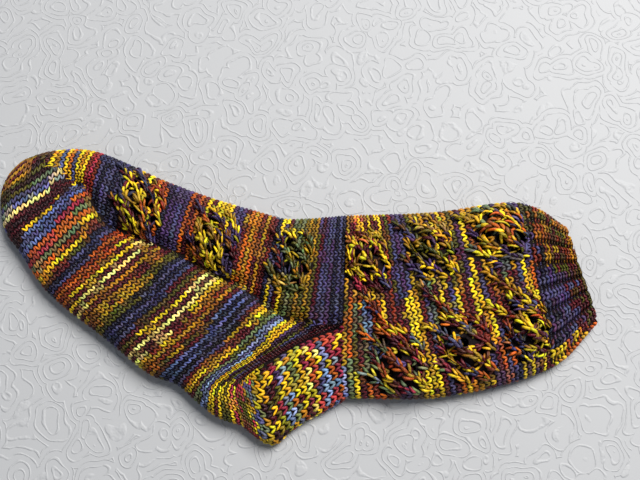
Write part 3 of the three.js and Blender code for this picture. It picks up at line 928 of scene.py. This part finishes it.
knit_columns = cuff_cells[:, 1] % 4 < 2
pieces_made["cuff_ribs"] = knit(
    "cuff_ribs", cuff, cuff_reach, cuff_cells[knit_columns], cuff_colour, FINE_POD, RIB_LIFT, RIB_YARN)
pieces_made["cuff_purls"] = purl(
    "cuff_purls", cuff, cuff_reach, cuff_cells[~knit_columns], cuff_colour, PLAIN_POD)

# %% [markdown]
# The cast-on edge is a firm, thick cord round the mouth: two short strands for each stitch, which slant
# up and down in turn. A plain ring would be easier, but it would look like a drawstring.

# %% Cast-on edge
EDGE_AT, EDGE_SLANT = -0.12, 0.25  # courses
EDGE_RADIUS, EDGE_ARCH, EDGE_SINK = 1.15, 0.5, 0.5
EDGE_SHADE = 0.9
edge_columns = np.arange(0, AROUND, 0.5)
slants_down = np.arange(len(edge_columns)) % 2
edge_starts = np.column_stack([EDGE_AT - EDGE_SLANT * (1 - slants_down), edge_columns - 0.08])
edge_ends = np.column_stack([EDGE_AT - EDGE_SLANT * slants_down, edge_columns + 0.62])
edge_points = strands(
    cuff, cuff_reach, FINE_POD, edge_starts, edge_ends, EDGE_RADIUS, EDGE_ARCH, EDGE_SINK)
edge_colours = cuff_colour(np.floor(edge_columns) % 3, edge_columns) * EDGE_SHADE
pieces_made["cast_on_edge"] = joined("cast_on_edge", FINE_POD, edge_points, edge_colours)

# %% [markdown]
# ## The heel
# On the flap every other stitch is slipped, so it is pulled up over two courses and stands out as a long
# plump stitch, with a small one beside it. That makes the heel thick and its colours mottled. The turn,
# the last courses before the sole, is plain. All three kinds are the same V, of other lengths and sizes.

# %% Heel
FLAP_COURSES = 27
HEEL_START = 0.25  # courses: every V of the heel starts this much below its own
HEEL_NARROW, HEEL_WIDE = 0.02, 0.54  # columns from the middle of the stitch, at the V's foot and top


def heel_stitches():
    """Both strands of every stitch of the heel."""
    row, column = heel_cells.T
    flap = row < FLAP_COURSES
    slipped = flap & (column % 2 == 0) & (row % 2 == 0)
    beside = flap & (column % 2 == 1) & (row % 2 == 1)
    turn = ~flap
    colours = heel_colour(row, column)
    points, dyes = [], []
    # each kind: which stitches, how many courses long, radius, arch and sink
    kinds = [(slipped, 2.5, 0.92, 1.3, 0.2), (beside, 2.4, 0.84, 0.9, 0.4), (turn, 1.3, 0.84, 0.8, 0.35)]
    for chosen, span, size, arch, sink in kinds:
        r, c = row[chosen], column[chosen] + 0.5
        for lean in (-1, 1):
            start = np.column_stack([r - HEEL_START, c + lean * HEEL_NARROW])
            end = np.column_stack([r - HEEL_START + span, c + lean * HEEL_WIDE])
            points.append(strands(heel, heel_reach, FINE_POD, start, end, size, arch, sink))
            # painted shade: the second strand of each heel V is a darker copy of the first strand's dye
            dyes.append(colours[chosen] * (1 if lean < 0 else 0.9))
    return joined("heel_stitches", FINE_POD, np.vstack(points), np.vstack(dyes))


pieces_made["heel_stitches"] = heel_stitches()

# %% [markdown]
# ## Lace
# A lace motif is made of yarn-overs, which leave holes, and decreases, which pull two or three stitches
# together. On the sock this shows as chains of long, loose Vs that slant across the motif and stand up
# from it, with holes between them and single loops of yarn across the holes. Each chain is a curve here,
# in courses and columns from the motif's centre, with a V every few millimetres. A second long chain
# leads into some motifs of the leg. Every V leans a little differently, as loose yarn does.

# %% Lace strands
CHAINS = [  # height off the cloth, then the places of the chain's stitches, from the motif's centre
    (1.8, [(5.8, -4.6), (2.8, -2.5), (0.3, -0.2), (-2.2, 2.2), (-4.4, 4.4)]),
    (1.3, [(4.2, -1.4), (2.2, 1.4), (-0.4, 3.4), (-2.8, 5.0)]),
    (0.8, [(5.2, 1.0), (2.8, 3.2), (0.6, 5.0)]),
    (1.5, [(2.2, -4.8), (-0.6, -2.9), (-2.9, -0.7), (-4.8, 1.4)]),
    (0.8, [(-1.4, -4.8), (-3.6, -3.0), (-5.2, -0.6)]),
]
LONG_DECREASE = (1.7, [(5.2, -10.0), (2.8, -7.6), (0.6, -5.2), (-2.0, -2.8)])  # leads into a motif
CLEAR_OF_FOLDS = (24.5, 57)  # the columns of the leg's motifs that have room for it
CHAIN_STEP = 2.7  # millimetres from one stitch of a chain to the next
LOOPS = 15  # loose loops in each motif
TO_MM = np.array([ROW, STITCH])
LOOSE_TURN, LOOSE_PLACE = 0.25, 0.4  # spread of the stitches' directions in radians, and places in mm
# least and most of each, in millimetres
CHAIN_LENGTH, CHAIN_SPREAD, CHAIN_RADIUS, CHAIN_ARCH = (4.4, 6.0), (1.1, 2.2), (0.62, 0.78), (1.0, 2.2)
LOOP_HALF, LOOP_RADIUS, LOOP_ARCH, LOOP_SINK = (2.6, 4.6), (0.6, 0.74), (1.2, 2.6), (-0.6, 0.5)
CHAIN_NARROW, CHAIN_SINK = 0.25, 0.2
MOTIF_HALF = (11, 13)
LACE_SHADE = (0.35, 1.15)  # loose strands lie in each other's shadow
OTHER_COURSE = (-4, 5)  # a strand of lace takes its colour from one of the courses about it


def chain(rng, here, height, places):
    """A slanting chain of Vs: start, end, radius, arch, sink and course of colour for each strand."""
    places = np.array(places) * TO_MM
    long = np.linalg.norm(np.diff(places, axis=0), axis=1).sum()
    spots = along(places, np.arange(0, long, CHAIN_STEP) / long)
    chosen = rng.integers(*OTHER_COURSE)
    made = []
    for spot, heading in zip(spots, np.gradient(spots, axis=0)):
        angle = math.atan2(-heading[1], -heading[0]) + rng.normal(0, LOOSE_TURN)
        way = np.array([math.cos(angle), math.sin(angle)])
        aside = np.array([-way[1], way[0]])
        foot_point = here + spot + rng.normal(0, LOOSE_PLACE, 2)
        lifted = height + rng.normal(0, LOOSE_PLACE)
        chosen += rng.integers(-1, 2)
        for lean in (-1, 1):
            start = foot_point + aside * lean * CHAIN_NARROW
            end = foot_point + way * rng.uniform(*CHAIN_LENGTH) + aside * lean * rng.uniform(*CHAIN_SPREAD)
            radius, arch = rng.uniform(*CHAIN_RADIUS), rng.uniform(*CHAIN_ARCH)
            made.append((start, end, radius, arch, CHAIN_SINK - lifted, chosen))
    return made


def loose_loop(rng, here):
    """One strand across the gaps of a motif, at any angle, told in the same way."""
    middle = here + rng.uniform(-1, 1, 2) * MOTIF_HALF
    angle, half = rng.uniform(0, math.pi), rng.uniform(*LOOP_HALF)
    way = np.array([math.cos(angle), math.sin(angle)]) * half
    radius, arch, sink = rng.uniform(*LOOP_RADIUS), rng.uniform(*LOOP_ARCH), rng.uniform(*LOOP_SINK)
    return middle - way, middle + way, radius, arch, sink, rng.integers(*OTHER_COURSE)


print(len(CHAINS), "chains and", LOOPS, "loops make one motif")

# %% All the lace
LACE_POD = pod(7, 8)


def lace_strands(section, reach_of, colour_of, motifs, seed):
    """The strands of these motifs, and the colour of each: its dye with painted shade."""
    rng = np.random.default_rng(seed)
    made = []
    for motif_row, motif_column in motifs:
        here = np.array([motif_row, motif_column]) * TO_MM
        clear_of_folds = section is leg and motif_column in CLEAR_OF_FOLDS
        for height, places in CHAINS + [LONG_DECREASE] * clear_of_folds:
            made += chain(rng, here, height, places)
        for _ in range(LOOPS):
            made.append(loose_loop(rng, here))
    start, end, radius, arch, sink, jitter = (np.array(part) for part in zip(*made))
    start, end = start / TO_MM, end / TO_MM
    middle = (start + end) / 2
    chosen_row = np.maximum(np.floor(middle[:, 0]) + jitter, 0)
    dyes = colour_of(chosen_row, np.floor(middle[:, 1])) * rng.uniform(*LACE_SHADE, (len(made), 1))
    return strands(section, reach_of, LACE_POD, start, end, radius, arch, sink), dyes


for label, section, reach_of, colour_of, motifs in [
    ("leg_lace", leg, leg_reach, leg_colour, LEG_MOTIFS),
    ("instep_lace", foot, instep_reach, instep_colour, FOOT_MOTIFS),
]:
    points, dyes = lace_strands(section, reach_of, colour_of, motifs, 31)
    pieces_made[label] = joined(label, LACE_POD, points, dyes)

# %% [markdown]
# ## The cloth under the stitches
# The strands of a real stitch hold each other. Here a thin cloth lies under them and gives every section
# a closed wall. Its near-black is painted shade, in the gaps between the stitches and in the eyelets. It
# starts as a flat grid, laid on the same table as the stitches. The eyelets are cut out of it, and Solidify
# gives it its thickness.
#
# Cutting alone would leave square steps round a hole. So the grid is first drawn in towards the rim of
# each eyelet, from both sides, and only what is left near the middle is cut away.

# %% Eyelets
HOLE_MIDDLE, RIM_REACH = 0.6, 1.45  # in sizes of an eyelet: what is cut away, and what moves to the rim


def open_eyelets(section, row, reach, reach_of, motifs):
    """New places for a cloth's vertices, drawn to the rims of the eyelets, and which are cut away."""
    cut = np.zeros(len(row), bool)
    for motif_row, motif_column in motifs:
        for row_from, column_from in HOLES:
            hole_row = motif_row + row_from
            hole_reach = float(reach_of(np.array([hole_row]), np.array([motif_column + column_from]))[0])
            total = section.length(hole_row)
            down = (row - hole_row) / HOLE_ROWS
            over = ((reach - hole_reach + total / 2) % total - total / 2) / (HOLE_COLUMNS * STITCH)
            spread = np.sqrt(down**2 + over**2)
            rim = (spread > HOLE_MIDDLE) & (spread < RIM_REACH)
            pull = np.where(rim, 1 / np.maximum(spread, 0.1), 1)
            row = np.where(rim, hole_row + down * HOLE_ROWS * pull, row)
            reach = np.where(rim, hole_reach + over * HOLE_COLUMNS * STITCH * pull, reach)
            cut |= spread <= HOLE_MIDDLE
    return row, reach, cut


print(len(HOLES) * len(LEG_MOTIFS + FOOT_MOTIFS), "eyelets in all")

# %% Cloth
CLOTH_THICKNESS = 0.7
UNDER_YARN = -0.3  # millimetres from the section's own surface to the cloth's
# painted shade: the near-black of the gaps between the stitches, given to the whole cloth
GAP_SHADE = (0.010, 0.006, 0.007)  # the dark between the stitches
TIP_X, TIP_Y = -0.150, 0.060  # metres: the open end of the toe lies beyond these


def close_tip(bm):
    """Draws the end of the toe together in one point."""
    toe_end = [v for v in bm.verts if v.is_boundary and v.co.x < TIP_X and v.co.y > TIP_Y]
    middle = sum((v.co for v in toe_end), Vector()) / len(toe_end)
    bmesh.ops.pointmerge(bm, verts=toe_end, merge_co=middle)


def cloth(name, section, first, last, steps_down, steps_over, reach_of, motifs):
    """A grid laid on a section, one vertex row for each step, with the eyelets of the motifs cut out."""
    bm = bmesh.new()
    bmesh.ops.create_grid(bm, x_segments=steps_over, y_segments=steps_down, size=0.5)
    flat = np.array([v.co[:2] for v in bm.verts]) + 0.5
    row = first + flat[:, 1] * (last - first)
    reach = flat[:, 0] * section.length(row)
    if not section.closed:
        reach = np.clip(reach, 0, section.length(row) * 0.9999)
    row, reach, cut = open_eyelets(section, row, reach, reach_of, motifs)
    for vertex, point in zip(bm.verts, section.place(row, reach, np.full(len(row), UNDER_YARN))):
        vertex.co = point
    bm.verts.ensure_lookup_table()
    bmesh.ops.delete(bm, geom=[bm.verts[i] for i in np.flatnonzero(cut)], context="VERTS")
    if section.closed:
        bmesh.ops.remove_doubles(bm, verts=bm.verts, dist=0.02 * MM)
    if last == LAST_ROW:
        close_tip(bm)
    for face in bm.faces:
        face.smooth = True
    mesh = bpy.data.meshes.new(name)
    bm.to_mesh(mesh)
    bm.free()
    # the attribute named dye holds only painted shade on the cloth
    dye = mesh.color_attributes.new("dye", "FLOAT_COLOR", "POINT")
    dye.data.foreach_set("color", np.tile(np.array([*GAP_SHADE, 1], np.float32), len(mesh.vertices)))
    made = bpy.data.objects.new(name, mesh)
    bpy.context.collection.objects.link(made)
    wall = made.modifiers.new("thickness", "SOLIDIFY")
    wall.thickness = CLOTH_THICKNESS * MM
    wall.offset = -1
    print(name, len(mesh.polygons), "faces")
    return made


for name, section, first, last, steps_down, steps_over, reach_of, motifs in [
    ("leg_cloth", leg, CUFF_ROWS - 0.5, ANKLE_ROW, 64, 128, leg_reach, LEG_MOTIFS),
    ("cuff_cloth", cuff, 0, CUFF_ROWS - 0.5, 14, 160, cuff_reach, []),
    ("foot_cloth", foot, ANKLE_ROW, TOE_ROW, 97, 128, instep_reach, FOOT_MOTIFS),
    ("toe_cloth", foot, TOE_ROW, LAST_ROW, 29, 128, instep_reach, []),
    ("heel_cloth", heel, 0, HEEL_COURSES, 34, 48, heel_reach, []),
]:
    pieces_made[name] = cloth(name, section, first, last, steps_down, steps_over, reach_of, motifs)

# %% [markdown]
# ## Wool
# Hand-dyed wool is matt, with a soft sheen from its fine fibres, and each strand is twisted from plies.
# The colour comes from the dye attribute, which holds the dye together with painted shade. A wave along
# the strand's UV map makes the twist, and noise makes fibres and small changes of depth in the dye. An
# image of yarn would show where it begins and ends on every strand, and the wave and the noise do not.

# %% Wool material
def add_node(material, kind, values=()):
    """A shader node of this kind, with values for some of its inputs."""
    node = material.node_tree.nodes.new("ShaderNode" + kind)
    for socket, value in dict(values).items():
        node.inputs[socket].default_value = value
    return node


def wool(name, depth=1.0, sheen=0.38):
    """Twisted yarn in the colours of the dye attribute, which holds dye and painted shade. depth is how deep
    the twist goes.
    """
    material = bpy.data.materials.new(name)
    material.use_nodes = True
    links = material.node_tree.links
    shader = material.node_tree.nodes["Principled BSDF"]
    shader.inputs["Roughness"].default_value = 0.42
    shader.inputs["Specular IOR Level"].default_value = sheen

    # the attribute named dye holds the dye together with painted shade
    dye = add_node(material, "Attribute")
    dye.attribute_name = "dye"
    coordinates = add_node(material, "TexCoord")
    heather = add_node(material, "TexNoise", {"Scale": 900, "Detail": 3})
    links.new(coordinates.outputs["Object"], heather.inputs["Vector"])
    spread = add_node(material, "MapRange", {"To Min": 0.62, "To Max": 1.38})
    links.new(heather.outputs["Fac"], spread.inputs["Value"])
    tinted = add_node(material, "VectorMath")
    tinted.operation = "SCALE"
    links.new(dye.outputs["Color"], tinted.inputs[0])
    links.new(spread.outputs["Result"], tinted.inputs["Scale"])
    links.new(tinted.outputs["Vector"], shader.inputs["Base Color"])

    strand = add_node(material, "UVMap")
    strand.uv_map = "strand"
    turned = add_node(material, "Mapping", {"Scale": (2.6, 2.0, 1.0)})
    links.new(strand.outputs["UV"], turned.inputs["Vector"])
    plies = add_node(material, "TexWave", {"Scale": 0.5, "Distortion": 0.6})
    plies.wave_type, plies.bands_direction = "BANDS", "DIAGONAL"
    links.new(turned.outputs["Vector"], plies.inputs["Vector"])
    fibres = add_node(material, "TexNoise", {"Scale": 2600, "Detail": 4})
    links.new(coordinates.outputs["Object"], fibres.inputs["Vector"])
    both = add_node(material, "Math", {1: 0.7})
    both.operation = "MULTIPLY_ADD"
    links.new(plies.outputs["Fac"], both.inputs[0])
    links.new(fibres.outputs["Fac"], both.inputs[2])
    bump = add_node(material, "Bump", {"Strength": 0.7, "Distance": 0.0005 * depth})
    links.new(both.outputs["Value"], bump.inputs["Height"])
    links.new(bump.outputs["Normal"], shader.inputs["Normal"])
    return material


yarn = wool("hand_dyed_wool")
# the cloth's material carries the painted shade of the gaps between the stitches
gap_shade_wool = wool("painted_gap_shade", depth=1.5, sheen=0.05)
for name, piece in pieces_made.items():
    piece.data.materials.append(gap_shade_wool if name.endswith("cloth") else yarn)
print(len(pieces_made), "pieces made of wool")

# %% [markdown]
# ## What each piece stands for
# Cloth has no joints, so every piece rides on the one body. The five cloths replace the five plain
# solids of the frame, and the stitches lie on them.

# %% Riding and replacing
for name, piece in pieces_made.items():
    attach(piece, "root")
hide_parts("cuff")
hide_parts("leg")
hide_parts("heel")
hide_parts("foot")
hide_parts("toe")
print("five solids replaced")

# %% [markdown]
# ## Floor and light
# The sock lies on pale paper with a fine raised pattern of curls. Only its bumps matter, so they are made
# by the material and not as geometry: rings round scattered points, bent by broad noise, and broken up by
# finer noise, so that only short arcs are left of them.

# %% Floor
def embossed_paper():
    """Pale paper with short raised arcs."""
    material = bpy.data.materials.new("pale_embossed_paper")
    material.use_nodes = True
    links = material.node_tree.links
    shader = material.node_tree.nodes["Principled BSDF"]
    shader.inputs["Base Color"].default_value = (0.425, 0.430, 0.439, 1)
    shader.inputs["Roughness"].default_value = 0.6
    place = add_node(material, "TexCoord")
    bend = add_node(material, "TexNoise", {"Scale": 45, "Detail": 1})
    links.new(place.outputs["Object"], bend.inputs["Vector"])
    bent = add_node(material, "VectorMath", {1: (0.022, 0.022, 0.0)})
    bent.operation = "MULTIPLY_ADD"
    links.new(bend.outputs["Color"], bent.inputs[0])
    links.new(place.outputs["Object"], bent.inputs[2])
    sprays = add_node(material, "TexVoronoi", {"Scale": 64})
    links.new(bent.outputs["Vector"], sprays.inputs["Vector"])
    rings = add_node(material, "Math", {1: 30})
    rings.operation = "MULTIPLY"
    links.new(sprays.outputs["Distance"], rings.inputs[0])
    curls = add_node(material, "Math")
    curls.operation = "SINE"
    links.new(rings.outputs["Value"], curls.inputs[0])
    gaps = add_node(material, "TexNoise", {"Scale": 190})
    links.new(place.outputs["Object"], gaps.inputs["Vector"])
    stroke = add_node(material, "Math")
    stroke.operation = "MULTIPLY"
    links.new(curls.outputs["Value"], stroke.inputs[0])
    links.new(gaps.outputs["Fac"], stroke.inputs[1])
    ridge = add_node(material, "MapRange", {"From Min": 0.22, "From Max": 0.60})
    ridge.interpolation_type = "SMOOTHSTEP"
    links.new(stroke.outputs["Value"], ridge.inputs["Value"])
    emboss = add_node(material, "Bump", {"Strength": 0.5, "Distance": 0.0007})
    links.new(ridge.outputs["Result"], emboss.inputs["Height"])
    links.new(emboss.outputs["Normal"], shader.inputs["Normal"])
    return material


floor_mesh = bpy.data.meshes.new("floor")
bm = bmesh.new()
bmesh.ops.create_grid(bm, x_segments=1, y_segments=1, size=3)
bm.to_mesh(floor_mesh)
bm.free()
floor = bpy.data.objects.new("floor", floor_mesh)
bpy.context.collection.objects.link(floor)
floor_mesh.materials.append(embossed_paper())
print("floor at height", floor.location.z)

# %% [markdown]
# The light comes from one broad window behind the sock, on its right, so the stitches throw short soft
# shadows to the front and the left. A weak bluish lamp and the bluish room fill the shadows from the
# other side. One lamp would be enough for the shapes, but its shadows would hide the colours of the yarn.

# %% Lights and world
def area_light(name, place, size, power, tint):
    """A square lamp that faces the sock."""
    lamp = bpy.data.objects.new(name, bpy.data.lights.new(name, "AREA"))
    lamp.data.size, lamp.data.energy, lamp.data.color = size, power, tint
    lamp.location = place
    lamp.rotation_euler = (Vector((0, 0, 0)) - lamp.location).to_track_quat("-Z", "Y").to_euler()
    bpy.context.collection.objects.link(lamp)


area_light("window", Vector((0.95, 1.08, 1.85)), 1.30, 93, (1.0, 0.985, 0.96))
area_light("fill", Vector((-0.7, -0.6, 0.9)), 1.2, 1.2, (0.9, 0.95, 1.0))
world = bpy.data.worlds.new("soft_room")
bpy.context.scene.world = world
world.use_nodes = True
world.node_tree.nodes["Background"].inputs["Color"].default_value = (0.80, 0.87, 1.0, 1)
world.node_tree.nodes["Background"].inputs["Strength"].default_value = 0.20

bpy.context.scene.view_settings.view_transform = "Standard"

# %% [markdown]
# ## Sheets
# Each cloth is declared as a sheet: how wide and how long its section is when laid out flat, all round.
# The foot, the toe and the heel are no rectangles, so their areas are counted instead, stitch by stitch.

# %% Sheets
CUFF_DRAWN_IN = 0.9  # the mouth is narrower than the top of the leg
STITCH_AREA = STITCH * ROW * MM * MM
HEEL_STITCH_AREA = HEEL_STITCH * HEEL_ROW * MM * MM
foot_area = (len(instep_cells) + len(sole_cells)) * STITCH_AREA
toe_area = (sum(instep_cells[:, 0] >= TOE_ROW) + sum(sole_cells[:, 0] >= TOE_ROW)) * STITCH_AREA
for name, section, first, last, area in [
    ("leg_cloth", leg, CUFF_ROWS, ANKLE_ROW, None),
    ("cuff_cloth", cuff, 0, CUFF_ROWS, None),
    ("foot_cloth", foot, ANKLE_ROW, TOE_ROW, foot_area - toe_area),
    ("toe_cloth", foot, TOE_ROW, LAST_ROW, toe_area),
    ("heel_cloth", heel, 0, HEEL_COURSES, len(heel_cells) * HEEL_STITCH_AREA),
]:
    of_section = (section.rows >= first) & (section.rows <= last)
    width = float(section.round_mm[of_section].max()) * MM
    if name == "cuff_cloth":
        width *= CUFF_DRAWN_IN
